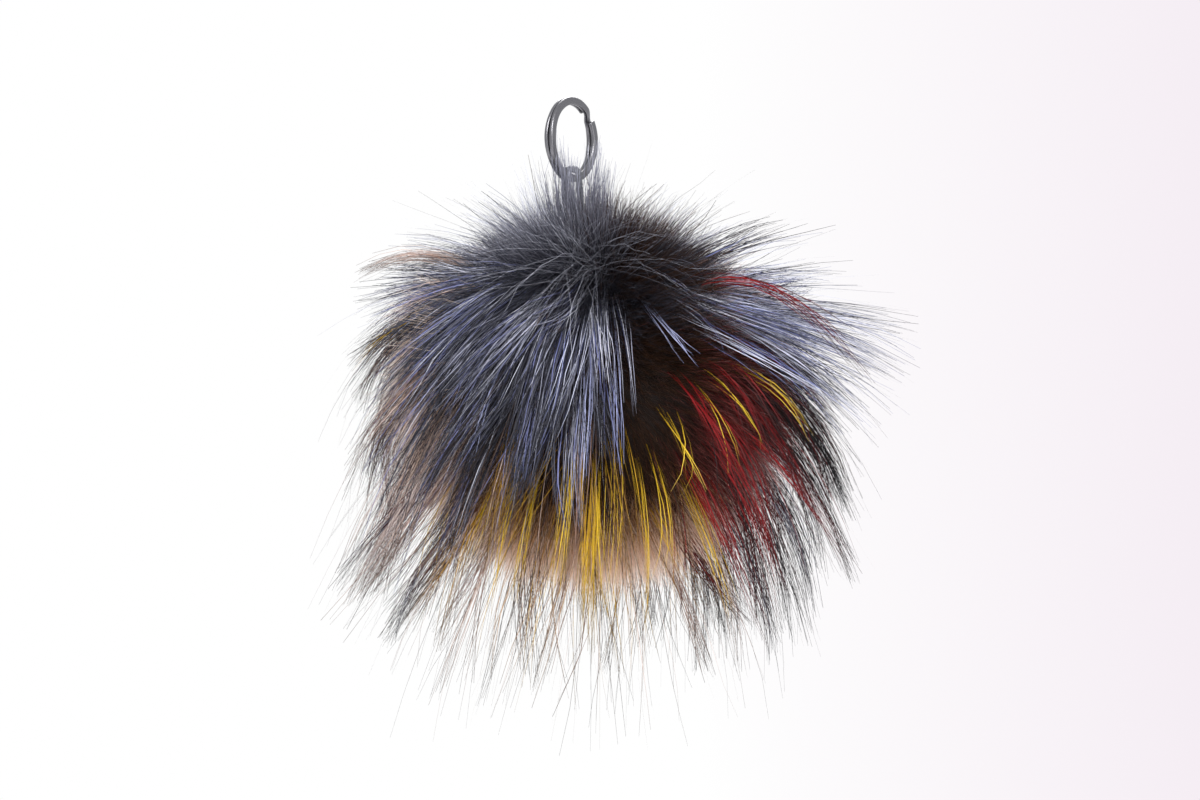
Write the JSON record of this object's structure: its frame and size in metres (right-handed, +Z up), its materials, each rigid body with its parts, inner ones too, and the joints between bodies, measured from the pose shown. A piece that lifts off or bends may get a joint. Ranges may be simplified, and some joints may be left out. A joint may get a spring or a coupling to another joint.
{
  "type": "pom pom charm on a split ring",
  "caption": "Long-haired dyed fur pom pom that hangs from a steel split ring by a short cord loop, for a bag, a hat or keys.",
  "frame": {"origin": "the top of the split ring's outer edge, which the charm hangs from", "axes": "+Z up, away from the fur; the side that the picture shows faces -Y, with its right along +X"},
  "size_m": [0.1675, 0.1534, 0.1836],
  "materials": {
    "gunmetal": "dark plated steel, satin",
    "loop_cord": "dark grey cord",
    "fur": "long dyed fur, slate blue, brown, yellow and red"
  },
  "bodies": {
    "root": {"split_ring": "gunmetal", "hanging_loop": "loop_cord", "pompom": "fur"}
  },
  "joints": []
}
